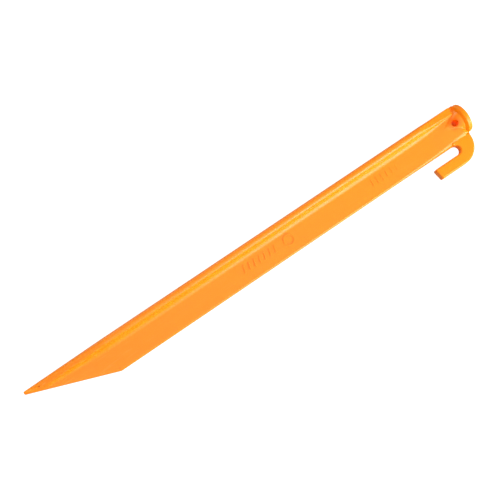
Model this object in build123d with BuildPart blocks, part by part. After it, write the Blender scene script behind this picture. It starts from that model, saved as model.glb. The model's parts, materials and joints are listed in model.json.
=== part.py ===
"""A moulded tent stake with a T-shaped section, a line hook and a round striking cap.

Millimetres. The stake lies along +X from its driving point at x = 0 to its striking face.
The flange is on the +Y side with its outer face at y = 0, the hook opens towards -Y and
back towards the point, and +Z is square to the web, which is centred on z = 0.
"""

import os
from math import cos, radians, sin

from build123d import *

os.makedirs("parts", exist_ok=True)

# Stake
length = 305.0
depth = 20.8  # outer face of the flange to the free edge of the web
point_length = 51.5  # where the free edge starts to slope up to the point

# T section. Where it changes along the stake, a section is given as half the flange's width, half
# the web's thickness, and the radii of the flange's edges, the root and the web's free edge.
flange_width = 18.0
flange_thickness = 4.7
flange_edge_radius = 2.2
web_thickness = 2.6
web_edge_radius = 1.1
root_radius = 3.3  # fillet between flange and web
straight_section = (
    flange_width / 2,
    web_thickness / 2,
    flange_edge_radius,
    root_radius,
    web_edge_radius,
)

# Driving point
nose_height = 1.8
nose_width = 2.4
nose_radius = 0.7
nose_section = (nose_width / 2, 0.35, 0.5, 0.3, 0.25)
bevel_width = 2.6  # of the cutting bevel along the sloping edge
bevel_edge = 1.0  # thickness left at that edge

# Striking cap
cap_diameter = 18.6
cap_rim_width = 3.3
cap_axis_y = -9.5
cap_seat_diameter = 15.0  # where the neck meets the cap's sloping back
cap_seat_depth = 1.1  # how far the seat stands behind the rim
cap_face_radius = 1.7
cap_back_radius = 0.5

# Neck: the T section thickens from neck_start, narrows at the shoulder, and flares to the cap
neck_start = 245.0
shoulder_start = 274.0
shoulder_start_section = (flange_width / 2, 2.3, flange_edge_radius, 2.9, 1.8)
shoulder_end = 281.5
shoulder_end_section = (6.4, 2.6, 1.4, 2.3, 2.3)
flange_end = 298.0  # where the flange's edges stop, just behind the cap
flange_end_section = (5.2, 4.4, 0.4, 0.35, 4.2)
rim_section = (2.6, 1.6, 0.5, 0.4, 1.4)  # inside the cap's sloping back
rib_width = 4.0  # the middle of the flange, which carries on to the cap
flare_length = 16.0  # of the trumpet-shaped flare round the cap's axis
flare_start_radius = 2.4
flare_middle_radius = 4.5
pull_hole_diameter = 4.2
pull_hole_x = 295.9
pull_hole_y = -10.0

# Line hook
hook_thickness = 6.4
hook_edge_radius = 1.0
hook_embed = 1.5  # how far its root is let into the neck
hook_right = 300.9  # outer side of the stem
slot_end = 290.9
slot_width = 5.7
arm_width = 7.0
arm_end = 270.0
arm_slant = 1.0  # how much shorter the arm is on its outer side
bend_radius = 12.4

rim_start = length - cap_rim_width
cap_back = rim_start - cap_seat_depth
flare_start = cap_back - flare_length
root_depth = flange_thickness + root_radius  # where the flange's fillets meet the web
arm_top = -(depth + slot_width)
arm_bottom = arm_top - arm_width
slot_radius = slot_width / 2
clearance = 5.0  # how far a cutting shape reaches past what it cuts


def half_section(flange_half, web_half, corner, root, edge):
    """Outline of half a T section: flange edge, underside, root fillet, web and free edge."""
    swing = 1 - cos(radians(45))
    Line((0, 0), (0, flange_half - corner))
    ThreePointArc(
        (0, flange_half - corner),
        (-corner * swing, flange_half - corner * swing),
        (-corner, flange_half),
    )
    Line((-corner, flange_half), (corner - flange_thickness, flange_half))
    ThreePointArc(
        (corner - flange_thickness, flange_half),
        (corner * swing - flange_thickness, flange_half - corner * swing),
        (-flange_thickness, flange_half - corner),
    )
    Line((-flange_thickness, flange_half - corner), (-flange_thickness, web_half + root))
    ThreePointArc(
        (-flange_thickness, web_half + root),
        (-flange_thickness - root * swing, web_half + root * swing),
        (-flange_thickness - root, web_half),
    )
    Line((-flange_thickness - root, web_half), (edge - depth, web_half))
    ThreePointArc(
        (edge - depth, web_half),
        (edge * swing - depth, web_half - edge * swing),
        (-depth, web_half - edge),
    )
    Line((-depth, web_half - edge), (-depth, 0))


def t_section(x, flange_half, web_half, corner, root, edge):
    """A whole T section across the stake at x, with the radii of its corners, root and free edge."""
    with BuildSketch(Plane.YZ.offset(x)) as section:
        with BuildLine():
            half_section(flange_half, web_half, corner, root, edge)
            mirror(about=Plane.XZ)
        make_face()
    return section.sketch


# Driving point: the plain section, tapered in plan and sloped up to a blunt nose
slope = (depth - nose_height) / point_length
with BuildPart() as driving_point:
    add(t_section(0, *nose_section))
    add(t_section(point_length, *straight_section))
    loft(ruled=True)
    with BuildSketch(Plane.XY) as side_view:
        with BuildLine():
            Polyline(
                (0, 0),
                (point_length, 0),
                (point_length, -depth),
                (0, -nose_height),
                close=True,
            )
        make_face()
        fillet(side_view.vertices().group_by(Axis.X)[0], nose_radius)
    extrude(amount=flange_width, both=True, mode=Mode.INTERSECT)
    for side in (1, -1):
        with BuildSketch(Plane.YZ.offset(point_length)) as bevel_cut:
            with BuildLine():
                Polyline(
                    (-depth - clearance, side * bevel_edge / 2),
                    (-depth, side * bevel_edge / 2),
                    (-depth + bevel_width, side * web_thickness / 2),
                    (-depth + bevel_width, side * web_thickness),
                    (-depth - clearance, side * web_thickness),
                    close=True,
                )
            make_face()
        extrude(dir=(-1, slope, 0), amount=point_length + clearance, mode=Mode.SUBTRACT)
driving_point.part.label = "driving_point"

# Flange of the straight length, with the fillets that run into the web
with BuildPart() as flange:
    extrude(t_section(point_length, *straight_section), amount=neck_start - point_length)
    split(bisect_by=Plane.XZ.offset(root_depth), keep=Keep.BOTTOM)
flange.part.label = "flange"

# Web of the straight length
with BuildPart() as web:
    extrude(t_section(point_length, *straight_section), amount=neck_start - point_length)
    split(bisect_by=Plane.XZ.offset(root_depth), keep=Keep.TOP)
web.part.label = "web"

# Line hook: a stem that drops from the neck and an arm that runs back along the stake
slot_start = slot_end - slot_radius
root_top = hook_embed - depth
bend_centre_x = hook_right - bend_radius
bend_centre_y = arm_bottom + bend_radius
reach = bend_radius * sin(radians(45))
with BuildPart() as line_hook:
    with BuildSketch(Plane.XY.offset(-hook_thickness / 2)) as hook_outline:
        with BuildLine():
            Line((slot_start, -depth), (slot_start, root_top))
            Line((slot_start, root_top), (hook_right, root_top))
            Line((hook_right, root_top), (hook_right, bend_centre_y))
            ThreePointArc(
                (hook_right, bend_centre_y),
                (bend_centre_x + reach, bend_centre_y - reach),
                (bend_centre_x, arm_bottom),
            )
            Line((bend_centre_x, arm_bottom), (arm_end + arm_slant, arm_bottom))
            Line((arm_end + arm_slant, arm_bottom), (arm_end, arm_top))
            Line((arm_end, arm_top), (slot_start, arm_top))
            ThreePointArc(
                (slot_start, arm_top),
                (slot_end, arm_top + slot_radius),
                (slot_start, -depth),
            )
        make_face()
    extrude(amount=hook_thickness)
    outline_edges = line_hook.edges().filter_by(Plane.XY)
    buried_edges = outline_edges.filter_by_position(Axis.Y, -depth, root_top, (False, True))
    arm_end_edges = line_hook.edges().filter_by(Axis.Z).sort_by(Axis.X)[:2]
    fillet(outline_edges - buried_edges + arm_end_edges, hook_edge_radius)
line_hook.part.label = "line_hook"

# Striking cap: a disc across the end of the neck, with a sloping back and rounded rims
with BuildPart() as striking_cap:
    with BuildSketch(Plane.XY) as cap_profile:
        with BuildLine():
            Polyline(
                (cap_back, cap_axis_y),
                (cap_back, cap_axis_y + cap_seat_diameter / 2),
                (rim_start, cap_axis_y + cap_diameter / 2),
                (length, cap_axis_y + cap_diameter / 2),
                (length, cap_axis_y),
                close=True,
            )
        make_face()
    revolve(axis=Axis((0, cap_axis_y, 0), (1, 0, 0)))
    rims = striking_cap.edges().filter_by(GeomType.CIRCLE).sort_by(Axis.X)
    fillet(rims[-1], cap_face_radius)
    fillet(rims[-2], cap_back_radius)
striking_cap.part.label = "striking_cap"

# Neck: T sections that thicken towards the cap, with a flare round the cap's axis
with BuildPart() as neck:
    add(t_section(neck_start, *straight_section))
    add(t_section(shoulder_start, *shoulder_start_section))
    add(t_section(shoulder_end, *shoulder_end_section))
    add(t_section(flange_end, *flange_end_section))
    add(t_section(rim_start, *rim_section))
    loft(ruled=True)
    for side in (1, -1):
        with BuildSketch(Plane.XZ) as flange_stop:
            with BuildLine():
                Polyline(
                    (flange_end, side * rib_width / 2),
                    (rim_start, side * rib_width / 2),
                    (rim_start, side * flange_width),
                    (flange_end, side * flange_width),
                    close=True,
                )
            make_face()
        extrude(amount=flange_thickness, mode=Mode.SUBTRACT)
    with BuildSketch(Plane.XY) as flare_profile:
        with BuildLine():
            Line((flare_start, cap_axis_y), (flare_start, cap_axis_y + flare_start_radius))
            ThreePointArc(
                (flare_start, cap_axis_y + flare_start_radius),
                (flare_start + flare_length / 2, cap_axis_y + flare_middle_radius),
                (cap_back, cap_axis_y + cap_seat_diameter / 2),
            )
            Line((cap_back, cap_axis_y + cap_seat_diameter / 2), (cap_back, cap_axis_y))
            Line((cap_back, cap_axis_y), (flare_start, cap_axis_y))
        make_face()
    revolve(axis=Axis((0, cap_axis_y, 0), (1, 0, 0)))
    with BuildSketch(Plane.XY) as pull_hole:
        with Locations((pull_hole_x, pull_hole_y)):
            Circle(pull_hole_diameter / 2)
    extrude(amount=cap_diameter / 2, both=True, mode=Mode.SUBTRACT)
    with BuildSketch(Plane.XY) as under_cap:
        with BuildLine():
            Polyline(
                (hook_right, -depth),
                (rim_start, cap_axis_y - cap_diameter / 2),
                (length, -depth),
                close=True,
            )
        make_face()
    extrude(amount=cap_diameter / 2, both=True, mode=Mode.SUBTRACT)
    add(line_hook.part, mode=Mode.SUBTRACT)
    add(striking_cap.part, mode=Mode.SUBTRACT)
neck.part.label = "neck"

for piece in (driving_point, flange, web, neck, line_hook, striking_cap):
    export_step(piece.part, f"parts/{piece.part.label}.step")
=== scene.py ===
"""Looks for a moulded plastic tent stake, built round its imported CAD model.

Metres. +X runs from the driving point to the striking cap, the flange is on the +Y side, the
hook hangs on the -Y side, and +Z is square to the web. The stake lies on its side on a table.
"""

import json
import math

import bmesh
import bpy
from mathutils import Matrix, Vector


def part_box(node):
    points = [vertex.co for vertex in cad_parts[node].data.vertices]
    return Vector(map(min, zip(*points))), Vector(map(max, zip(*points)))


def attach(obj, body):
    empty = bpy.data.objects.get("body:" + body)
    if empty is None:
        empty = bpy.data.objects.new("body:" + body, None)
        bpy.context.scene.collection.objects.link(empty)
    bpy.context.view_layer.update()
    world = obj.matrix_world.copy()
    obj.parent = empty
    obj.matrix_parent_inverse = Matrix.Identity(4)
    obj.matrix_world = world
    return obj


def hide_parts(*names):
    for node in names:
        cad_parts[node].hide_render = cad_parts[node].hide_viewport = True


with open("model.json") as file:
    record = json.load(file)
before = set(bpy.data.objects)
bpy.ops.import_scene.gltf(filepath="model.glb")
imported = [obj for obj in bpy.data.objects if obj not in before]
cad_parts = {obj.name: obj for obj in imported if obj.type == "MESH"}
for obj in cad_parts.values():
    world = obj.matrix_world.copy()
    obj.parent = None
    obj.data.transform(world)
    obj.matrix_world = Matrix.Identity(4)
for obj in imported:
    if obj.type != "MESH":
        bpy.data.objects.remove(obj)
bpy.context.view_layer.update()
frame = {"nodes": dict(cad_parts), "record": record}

MM = 0.001
WEB_LOW, WEB_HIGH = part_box("web")
CAP_LOW, CAP_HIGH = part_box("striking_cap")
POINT_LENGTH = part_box("driving_point")[1].x
STAKE_LENGTH = CAP_HIGH.x
WEB_FACE = WEB_HIGH.z
WEB_MIDDLE_Y = (WEB_LOW.y + WEB_HIGH.y) / 2
PULL_HOLE = next(m for m in frame["record"]["mounts"] if m["name"] == "pull_hole")
HOLE_PLACE = PULL_HOLE["pos_m"]
HOLE_RADIUS = PULL_HOLE["dims"]["r_mm"] * MM


def new_piece(name, mesh):
    """A piece at the origin whose mesh is already in place."""
    piece = bpy.data.objects.new(name, mesh)
    bpy.context.scene.collection.objects.link(piece)
    return piece


def piece_from(name, shape):
    """Turns a bmesh into a piece and frees it."""
    mesh = bpy.data.meshes.new(name)
    shape.to_mesh(mesh)
    shape.free()
    return new_piece(name, mesh)


# ---- Moulding ----------------------------------------------------------------------------

# Skin name: the CAD regions that it covers
SKINS = {
    "stake_body": ("web", "flange", "driving_point", "neck"),
    "cap_skin": ("striking_cap",),
    "hook_skin": ("line_hook",),
}
WELD_DISTANCE = 0.002 * MM
CREASE_ANGLE = math.radians(28)
FLAT_FACE_WEIGHT = 100


def region_copy(name):
    """A welded copy of one region of the moulding."""
    shape = bmesh.new()
    shape.from_mesh(frame["nodes"][name].data)
    bmesh.ops.remove_doubles(shape, verts=shape.verts, dist=WELD_DISTANCE)
    return piece_from(f"{name}_copy", shape)


def joined(name, parts):
    """One skin round all the parts, with no faces left inside."""
    base = parts[0]
    for part in parts[1:]:
        union = base.modifiers.new(f"with_{part.name}", "BOOLEAN")
        union.operation = "UNION"
        union.solver = "EXACT"
        union.object = part
    bpy.context.view_layer.update()
    evaluated = base.evaluated_get(bpy.context.evaluated_depsgraph_get())
    mesh = bpy.data.meshes.new_from_object(evaluated)
    for part in parts:
        bpy.data.objects.remove(part)
    return new_piece(name, mesh)


def finish_plastic(piece):
    """Smooth shading with crisp creases, carried by the one rigid body."""
    piece.data.materials.clear()
    for face in piece.data.polygons:
        face.use_smooth = True
    piece.data.set_sharp_from_angle(angle=CREASE_ANGLE)
    evened = piece.modifiers.new("flat_faces_stay_flat", "WEIGHTED_NORMAL")
    evened.keep_sharp = True
    evened.weight = FLAT_FACE_WEIGHT
    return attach(piece, "root")


def make_skins():
    """The surfaces of the moulding, one piece for each group of regions."""
    skins = []
    for name, regions in SKINS.items():
        skin = joined(name, [region_copy(region) for region in regions])
        finish_plastic(skin)
        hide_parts(*regions)
        skins.append(skin)
    return skins


# ---- Raised marks ------------------------------------------------------------------------

MARK_HEIGHT = 0.35 * MM
MARK_SINK = 0.25 * MM
MARK_EDGE = 0.1 * MM
MARK_OFFSET = 2.3 * MM  # from the middle of the web towards the flange
RING_STEPS = 40

# How many bars, and in millimetres the first one's x, their pitch, length and width
SLANTED_BARS = (7, 141.5, 3.6, 4.6, 0.8)
STRAIGHT_BARS = (8, 234.0, 3.5, 3.8, 0.75)
BAR_SLANT = math.radians(-16)
RING_X = 173.0 * MM
RING_RADIUS = 3.2 * MM
RING_WIDTH = 0.7 * MM


def add_mark(shape, verts, x, turn=0.0):
    """Turns a new mark and sets it on the near face of the web at x."""
    bmesh.ops.rotate(shape, verts=verts, cent=(0, 0, 0), matrix=Matrix.Rotation(turn, 3, "Z"))
    bmesh.ops.translate(shape, verts=verts, vec=(x, WEB_MIDDLE_Y + MARK_OFFSET, WEB_FACE))


def add_bar(shape, x, length, width, turn=0.0):
    """A raised bar with softened edges."""
    made = bmesh.ops.create_cube(shape, size=1.0)["verts"]
    bmesh.ops.scale(shape, verts=made, vec=(width, length, MARK_HEIGHT + MARK_SINK))
    bmesh.ops.translate(shape, verts=made, vec=(0, 0, (MARK_HEIGHT - MARK_SINK) / 2))
    edges = list({edge for vert in made for edge in vert.link_edges})
    bevelled = bmesh.ops.bevel(
        shape,
        geom=edges,
        offset=MARK_EDGE,
        segments=2,
        profile=0.5,
        affect="EDGES",
        material=-1,
    )
    verts = list({vert for face in bevelled["faces"] for vert in face.verts})
    add_mark(shape, verts, x, turn)


def add_bars(shape, row, turn=0.0):
    """A row of equal bars along the stake."""
    count, start, pitch, length, width = row
    for i in range(count):
        add_bar(shape, (start + pitch * i) * MM, length * MM, width * MM, turn)


def add_ring(shape):
    """A raised ring, spun from its square section."""
    section = [
        shape.verts.new((RING_RADIUS + side * RING_WIDTH / 2, 0, height))
        for side, height in (
            (-1, -MARK_SINK),
            (1, -MARK_SINK),
            (1, MARK_HEIGHT),
            (-1, MARK_HEIGHT),
        )
    ]
    edges = [shape.edges.new((section[i], section[(i + 1) % 4])) for i in range(4)]
    before = set(shape.verts) - set(section)
    bmesh.ops.spin(
        shape,
        geom=section + edges,
        axis=(0, 0, 1),
        cent=(0, 0, 0),
        angle=2 * math.pi,
        steps=RING_STEPS,
        use_merge=True,
    )
    verts = [vert for vert in shape.verts if vert not in before]
    add_mark(shape, verts, RING_X)


def make_marks():
    """Plain raised bars and a ring on the near face of the web."""
    shape = bmesh.new()
    add_bars(shape, SLANTED_BARS, BAR_SLANT)
    add_ring(shape)
    add_bars(shape, STRAIGHT_BARS)
    bmesh.ops.recalc_face_normals(shape, faces=shape.faces)
    return finish_plastic(piece_from("web_marks", shape))


# ---- Shader node groups ------------------------------------------------------------------


def new_group(name, inputs, outputs):
    """An empty shader node group with number inputs and number outputs."""
    tree = bpy.data.node_groups.new(name, "ShaderNodeTree")
    for label, default in inputs:
        socket = tree.interface.new_socket(label, in_out="INPUT", socket_type="NodeSocketFloat")
        socket.default_value = default
    for label in outputs:
        tree.interface.new_socket(label, in_out="OUTPUT", socket_type="NodeSocketFloat")
    return tree, tree.nodes.new("NodeGroupInput"), tree.nodes.new("NodeGroupOutput")


def place(tree):
    """The three coordinates of the shaded point, in metres."""
    coordinates = tree.nodes.new("ShaderNodeTexCoord")
    split = tree.nodes.new("ShaderNodeSeparateXYZ")
    tree.links.new(coordinates.outputs["Object"], split.inputs[0])
    return split.outputs


def stretched(tree, factors):
    """Object coordinates scaled along each axis, for patterns that run along the stake."""
    coordinates = tree.nodes.new("ShaderNodeTexCoord")
    mapping = tree.nodes.new("ShaderNodeMapping")
    mapping.inputs["Scale"].default_value = factors
    tree.links.new(coordinates.outputs["Object"], mapping.inputs["Vector"])
    return mapping.outputs[0]


def noise(tree, scale, detail=3.0, vector=None):
    """A noise value, with scale in cells per metre."""
    node = tree.nodes.new("ShaderNodeTexNoise")
    node.inputs["Detail"].default_value = detail
    node.inputs["Scale"].default_value = scale
    tree.links.new(vector or stretched(tree, (1, 1, 1)), node.inputs["Vector"])
    return node.outputs["Fac"]


def maths(tree, operation, first, second=None, clamp=False):
    """One Math node; each operand is a number or a socket."""
    node = tree.nodes.new("ShaderNodeMath")
    node.operation = operation
    node.use_clamp = clamp
    for socket, value in zip(node.inputs, (first, second)):
        if value is None:
            continue
        if isinstance(value, (int, float)):
            socket.default_value = value
        else:
            tree.links.new(value, socket)
    return node.outputs[0]


def ramp(tree, value, low, high, out_low=0.0, out_high=1.0):
    """A smooth step: value from low to high gives out_low to out_high."""
    node = tree.nodes.new("ShaderNodeMapRange")
    node.interpolation_type = "SMOOTHSTEP"
    tree.links.new(value, node.inputs["Value"])
    for label, number in (
        ("From Min", low),
        ("From Max", high),
        ("To Min", out_low),
        ("To Max", out_high),
    ):
        if isinstance(number, (int, float)):
            node.inputs[label].default_value = number
        else:
            tree.links.new(number, node.inputs[label])
    return node.outputs["Result"]


def make_grain_group():
    """The fine texture of the mould's steel, over a slow unevenness from cooling."""
    tree, given, result = new_group(
        "moulded_grain", (("Grain", 0.1), ("Unevenness", 0.65)), ("Height", "Sheen")
    )
    fine = noise(tree, 2600.0, 4.0)
    slow = noise(tree, 70.0, 2.0, stretched(tree, (0.45, 1, 1)))
    fine_part = maths(tree, "MULTIPLY", fine, given.outputs["Grain"])
    slow_part = maths(tree, "MULTIPLY", slow, given.outputs["Unevenness"])
    tree.links.new(maths(tree, "ADD", fine_part, slow_part), result.inputs["Height"])
    patches = noise(tree, 240.0, 3.0, stretched(tree, (0.5, 1, 1)))
    tree.links.new(ramp(tree, patches, 0.3, 0.7), result.inputs["Sheen"])
    return tree


def make_flow_group():
    """Streaks of slightly uneven pigment, drawn out along the stake as the plastic flowed."""
    tree, given, result = new_group("flow_streaks", (("Contrast", 1.0),), ("Streaks",))
    wide = noise(tree, 90.0, 3.0, stretched(tree, (0.12, 1, 1)))
    narrow = noise(tree, 420.0, 3.0, stretched(tree, (0.06, 1, 1)))
    wide_part = maths(tree, "MULTIPLY", wide, 0.65)
    narrow_part = maths(tree, "MULTIPLY", narrow, 0.35)
    spread = ramp(tree, maths(tree, "ADD", wide_part, narrow_part), 0.36, 0.64)
    streaks = maths(tree, "MULTIPLY", spread, given.outputs["Contrast"])
    tree.links.new(streaks, result.inputs["Streaks"])
    return tree


def make_light_mask_group():
    """Masks for painted light: the thin web's face for a painted sheen, recesses for painted
    shade, and a ring round the pull hole for a painted glow.
    """
    tree, given, result = new_group(
        "painted_light_masks",
        (("Recess Reach", 0.006), ("Hole Reach", 0.003)),
        ("Web Sheen", "Recess Shade", "Hole Glow"),
    )
    point = place(tree)
    # Painted glow: a ring round the pull hole, coloured deeper orange to stand in for light
    # spreading through the plastic there.
    aside = [maths(tree, "SUBTRACT", point[axis], HOLE_PLACE[axis]) for axis in range(2)]
    squares = [maths(tree, "MULTIPLY", offset, offset) for offset in aside]
    away = maths(tree, "SQRT", maths(tree, "ADD", *squares))
    past_edge = maths(tree, "SUBTRACT", away, HOLE_RADIUS)
    hole_glow = ramp(tree, past_edge, 0.0, given.outputs["Hole Reach"], 1.0, 0.0)
    tree.links.new(hole_glow, result.inputs["Hole Glow"])
    # Painted sheen: the web's broad face, near the middle plane, gets a paler orange standing
    # in for a faint reflection on it.
    across = maths(tree, "ABSOLUTE", point["Z"])
    tree.links.new(ramp(tree, across, 2.4 * MM, 5.5 * MM, 1.0, 0.0), result.inputs["Web Sheen"])
    # Painted shade: ambient occlusion marks recesses, which are coloured a darker, deeper
    # orange and given more painted glow.
    shade = tree.nodes.new("ShaderNodeAmbientOcclusion")
    shade.samples = 8
    tree.links.new(given.outputs["Recess Reach"], shade.inputs["Distance"])
    recess = ramp(tree, shade.outputs["AO"], 0.05, 0.5, 1.0, 0.0)
    tree.links.new(recess, result.inputs["Recess Shade"])
    return tree


def make_parting_group():
    """The fine raised line where the mould's halves met, half way through the stake."""
    tree, given, result = new_group("parting_line", (("Width", 0.00022),), ("Line",))
    offset = maths(tree, "ABSOLUTE", place(tree)["Z"])
    uneven = noise(tree, 160.0, 2.0)
    swelling = ramp(tree, uneven, 0.2, 0.8, 0.6, 1.3)
    width = maths(tree, "MULTIPLY", given.outputs["Width"], swelling)
    tree.links.new(ramp(tree, offset, 0.0, width, 1.0, 0.0), result.inputs["Line"])
    return tree


def make_wear_group():
    """Fine scuffs: long ones from the ground near the point, short ones from a mallet."""
    tree, given, result = new_group(
        "handling_wear", (("Ground", 1.0), ("Mallet", 1.0)), ("Scuffs",)
    )
    along = place(tree)["X"]
    near_point = ramp(tree, along, 0.0, POINT_LENGTH * 1.7, 1.0, 0.12)
    scratches = noise(tree, 1500.0, 2.0, stretched(tree, (0.05, 1, 1)))
    ground = maths(tree, "MULTIPLY", ramp(tree, scratches, 0.58, 0.68), near_point)
    near_cap = ramp(tree, along, STAKE_LENGTH - 1.6 * MM, STAKE_LENGTH - 0.1 * MM)
    dents = noise(tree, 900.0, 4.0)
    mallet = maths(tree, "MULTIPLY", ramp(tree, dents, 0.52, 0.66), near_cap)
    total = maths(
        tree,
        "ADD",
        maths(tree, "MULTIPLY", ground, given.outputs["Ground"]),
        maths(tree, "MULTIPLY", mallet, given.outputs["Mallet"]),
        clamp=True,
    )
    tree.links.new(total, result.inputs["Scuffs"])
    return tree


GROUPS = {
    "grain": make_grain_group(),
    "flow": make_flow_group(),
    "light_masks": make_light_mask_group(),
    "parting": make_parting_group(),
    "wear": make_wear_group(),
}

# ---- Materials ---------------------------------------------------------------------------

DEEP_ORANGE = (0.95, 0.25, 0.002)
# Paler orange for the painted sheen on the web's face
WEB_SHEEN_ORANGE = (0.95, 0.265, 0.006)
STREAK_ORANGE = (0.98, 0.295, 0.006)
# Darker, deeper orange for painted shade in recesses and for a painted glow round the pull hole
SHADE_AND_GLOW_ORANGE = (0.93, 0.14, 0.0)
SCUFF_ORANGE = (0.98, 0.46, 0.12)
# Emission colours for a painted glow: over the whole plastic, and stronger in recesses
BASE_GLOW_ORANGE = (0.5, 0.1, 0.0)
GLOW_ORANGE = (0.55, 0.12, 0.0)

# How strongly each effect shows in the colour, from 0 to 1
STREAK_AMOUNT = 0.2
# Painted glow round the pull hole
HOLE_GLOW_AMOUNT = 0.8
SCUFF_AMOUNT = 0.35

# Strength of the painted glow that the plastic emits
PAINTED_GLOW_STRENGTH = 0.3
SHEEN_ROUGHNESS = 0.09
SCUFF_ROUGHNESS = 0.22
SCUFF_DEPTH = 0.5
RELIEF_STRENGTH = 0.3
RELIEF_HEIGHT = 0.05 * MM
PLASTIC_IOR = 1.4
SCATTER_AMOUNT = 0.15
SCATTER_DEPTH = 2 * MM
SCATTER_SPREAD = (1.0, 0.28, 0.04)  # of red, green and blue light


def placed(tree, group, **values):
    """One of the shared groups, with its inputs set."""
    node = tree.nodes.new("ShaderNodeGroup")
    node.node_tree = GROUPS[group]
    for label, value in values.items():
        node.inputs[label.replace("_", " ")].default_value = value
    return node


def mixed(tree, mask, first, second):
    """first where mask is 0 and second where it is 1; each is a colour or a socket."""
    node = tree.nodes.new("ShaderNodeMix")
    node.data_type = "RGBA"
    tree.links.new(mask, node.inputs[0])
    for socket, value in ((node.inputs[6], first), (node.inputs[7], second)):
        if isinstance(value, tuple):
            socket.default_value = (*value, 1)
        else:
            tree.links.new(value, socket)
    return node.outputs[2]


def moulded_plastic(name, ground, mallet, roughness, reflection):
    """Satin orange plastic that lets a little light through, with painted sheen, painted shade
    and painted glow.
    """
    material = bpy.data.materials.new(name)
    material.use_nodes = True
    tree = material.node_tree
    shader = tree.nodes["Principled BSDF"]
    grain = placed(tree, "grain")
    flow = placed(tree, "flow")
    light_masks = placed(tree, "light_masks")
    parting = placed(tree, "parting")
    wear = placed(tree, "wear", Ground=ground, Mallet=mallet)

    # Painted sheen: the web's face is paler than the flange.
    colour = mixed(tree, light_masks.outputs["Web Sheen"], DEEP_ORANGE, WEB_SHEEN_ORANGE)
    streaks = maths(tree, "MULTIPLY", flow.outputs["Streaks"], STREAK_AMOUNT)
    colour = mixed(tree, streaks, colour, STREAK_ORANGE)
    # Painted shade: recesses are coloured darker and deeper.
    colour = mixed(tree, light_masks.outputs["Recess Shade"], colour, SHADE_AND_GLOW_ORANGE)
    # Painted glow: a deeper orange ring round the pull hole.
    hole_glow = maths(tree, "MULTIPLY", light_masks.outputs["Hole Glow"], HOLE_GLOW_AMOUNT)
    colour = mixed(tree, hole_glow, colour, SHADE_AND_GLOW_ORANGE)
    scuffs = maths(tree, "MULTIPLY", wear.outputs["Scuffs"], SCUFF_AMOUNT)
    colour = mixed(tree, scuffs, colour, SCUFF_ORANGE)
    tree.links.new(colour, shader.inputs["Base Color"])

    # Painted glow: the plastic emits a faint orange everywhere, more in recesses, standing in
    # for light scattered inside it.
    glow = mixed(tree, light_masks.outputs["Recess Shade"], BASE_GLOW_ORANGE, GLOW_ORANGE)
    tree.links.new(glow, shader.inputs["Emission Color"])
    shader.inputs["Emission Strength"].default_value = PAINTED_GLOW_STRENGTH

    sheen = maths(tree, "MULTIPLY", grain.outputs["Sheen"], SHEEN_ROUGHNESS)
    rough = maths(tree, "ADD", sheen, roughness)
    scuffed = maths(tree, "MULTIPLY", wear.outputs["Scuffs"], SCUFF_ROUGHNESS)
    rough = maths(tree, "ADD", rough, scuffed)
    tree.links.new(rough, shader.inputs["Roughness"])

    relief = maths(tree, "ADD", grain.outputs["Height"], parting.outputs["Line"])
    worn = maths(tree, "MULTIPLY", wear.outputs["Scuffs"], SCUFF_DEPTH)
    relief = maths(tree, "SUBTRACT", relief, worn)
    bump = tree.nodes.new("ShaderNodeBump")
    bump.inputs["Strength"].default_value = RELIEF_STRENGTH
    bump.inputs["Distance"].default_value = RELIEF_HEIGHT
    tree.links.new(relief, bump.inputs["Height"])
    tree.links.new(bump.outputs["Normal"], shader.inputs["Normal"])

    shader.inputs["IOR"].default_value = PLASTIC_IOR
    shader.inputs["Specular IOR Level"].default_value = reflection
    shader.inputs["Subsurface Weight"].default_value = SCATTER_AMOUNT
    shader.inputs["Subsurface Radius"].default_value = SCATTER_SPREAD
    shader.inputs["Subsurface Scale"].default_value = SCATTER_DEPTH
    return material


# ---- Floor, light and camera -------------------------------------------------------------

TABLE_GREY = 0.3
TABLE_GLOW = 0.95  # as seen directly
TABLE_REACH = 3.0
STUDIO_LIGHT = 0.36
STUDIO_SEEN = 0.6  # added where the surroundings themselves are in view
SENSOR_WIDTH = 36
LENS = 90


def pale_table():
    """Matt table top that glows a little as seen directly, so that it stays nearly white."""
    material = bpy.data.materials.new("pale_table")
    material.use_nodes = True
    tree = material.node_tree
    shader = tree.nodes["Principled BSDF"]
    shader.inputs["Base Color"].default_value = (TABLE_GREY, TABLE_GREY, TABLE_GREY, 1)
    shader.inputs["Roughness"].default_value = 0.9
    shader.inputs["Specular IOR Level"].default_value = 0.1
    shader.inputs["Emission Color"].default_value = (1, 1, 1, 1)
    path = tree.nodes.new("ShaderNodeLightPath")
    direct = maths(tree, "MULTIPLY", path.outputs["Is Camera Ray"], TABLE_GLOW)
    tree.links.new(direct, shader.inputs["Emission Strength"])
    return material


def make_floor():
    """A plain pale table top under the stake."""
    shape = bmesh.new()
    bmesh.ops.create_grid(shape, x_segments=1, y_segments=1, size=TABLE_REACH)
    bmesh.ops.translate(shape, vec=(STAKE_LENGTH / 2, 0, CAP_LOW.z), verts=shape.verts)
    floor = piece_from("floor", shape)
    floor.data.materials.append(pale_table())


def area_light(name, location, aim, size, power):
    """A white soft box of size (wide, high) at location, turned to aim, itself out of view."""
    light = bpy.data.lights.new(name, "AREA")
    light.shape = "RECTANGLE"
    light.size, light.size_y = size
    light.energy = power
    lamp = bpy.data.objects.new(name, light)
    lamp.location = location
    lamp.rotation_mode = "QUATERNION"
    lamp.rotation_quaternion = (Vector(aim) - Vector(location)).to_track_quat("-Z", "Y")
    lamp.visible_camera = False
    bpy.context.scene.collection.objects.link(lamp)


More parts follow.
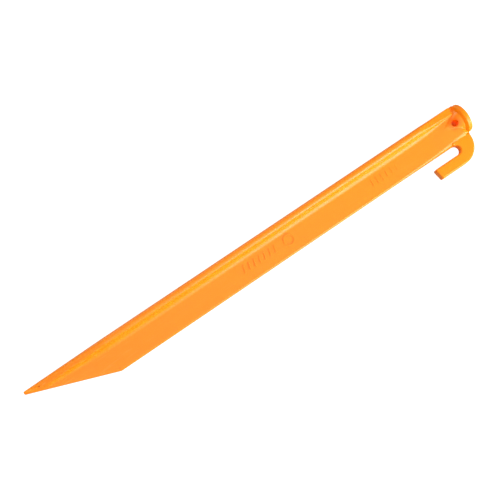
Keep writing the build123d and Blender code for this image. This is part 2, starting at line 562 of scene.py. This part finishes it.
def make_light():
    """White studio surroundings, with soft boxes on all sides but the point's.

    The key light stands on the hook's side by the head, one hangs above, a weak one fills the
    shade on the flange's side, and a low one picks out the rim of the cap.
    """
    world = bpy.data.worlds.new("studio")
    world.use_nodes = True
    tree = world.node_tree
    background = tree.nodes["Background"]
    background.inputs["Color"].default_value = (1, 1, 1, 1)
    path = tree.nodes.new("ShaderNodeLightPath")
    seen = maths(tree, "MULTIPLY", path.outputs["Is Camera Ray"], STUDIO_SEEN)
    tree.links.new(maths(tree, "ADD", seen, STUDIO_LIGHT), background.inputs["Strength"])
    bpy.context.scene.world = world
    middle = (STAKE_LENGTH / 2, WEB_MIDDLE_Y, 0)
    head = (0.9 * STAKE_LENGTH, WEB_MIDDLE_Y, 0)
    area_light("key", (0.46, -0.52, 0.38), head, (0.4, 0.62), 6.0)
    area_light("top", (0.15, -0.15, 0.9), middle, (0.8, 0.8), 1.8)
    area_light("fill", (0.15, 0.65, 0.15), middle, (0.6, 0.25), 1.5)
    area_light("end", (0.60, -0.20, 0.03), head, (0.2, 0.06), 1.1)


def make_camera():
    """The view: nearly square to the web, a little from the point's and the hook's side."""
    azimuth, elevation, roll = (math.radians(a) for a in (11.47, 3.84, 34.61))
    target = Vector((150.9 * MM, -4.49 * MM, 0))
    distance = 720.5 * MM
    back = Vector(
        (
            -math.sin(azimuth) * math.cos(elevation),
            -math.sin(elevation),
            math.cos(azimuth) * math.cos(elevation),
        )
    )
    level_right = Vector((0, 1, 0)).cross(back).normalized()
    level_up = back.cross(level_right)
    right = math.cos(roll) * level_right - math.sin(roll) * level_up
    up = math.sin(roll) * level_right + math.cos(roll) * level_up
    camera = bpy.data.objects.new("camera", bpy.data.cameras.new("camera"))
    camera.data.sensor_width = SENSOR_WIDTH
    camera.data.lens = LENS
    camera.matrix_world = Matrix.Translation(target + back * distance) @ Matrix(
        (right, up, back)
    ).transposed().to_4x4()
    bpy.context.scene.collection.objects.link(camera)
    bpy.context.scene.camera = camera


# ---- Scene -------------------------------------------------------------------------------

body, cap, hook = make_skins()
marks = make_marks()
body_plastic = moulded_plastic(
    "stake_plastic", ground=1.0, mallet=0.0, roughness=0.3, reflection=0.55
)
cap_plastic = moulded_plastic(
    "cap_plastic", ground=0.0, mallet=1.0, roughness=0.3, reflection=0.45
)
hook_plastic = moulded_plastic(
    "hook_plastic", ground=0.4, mallet=0.0, roughness=0.28, reflection=0.4
)
body.data.materials.append(body_plastic)
marks.data.materials.append(body_plastic)
cap.data.materials.append(cap_plastic)
hook.data.materials.append(hook_plastic)
make_floor()
make_light()
make_camera()
bpy.context.scene.view_settings.view_transform = "Standard"
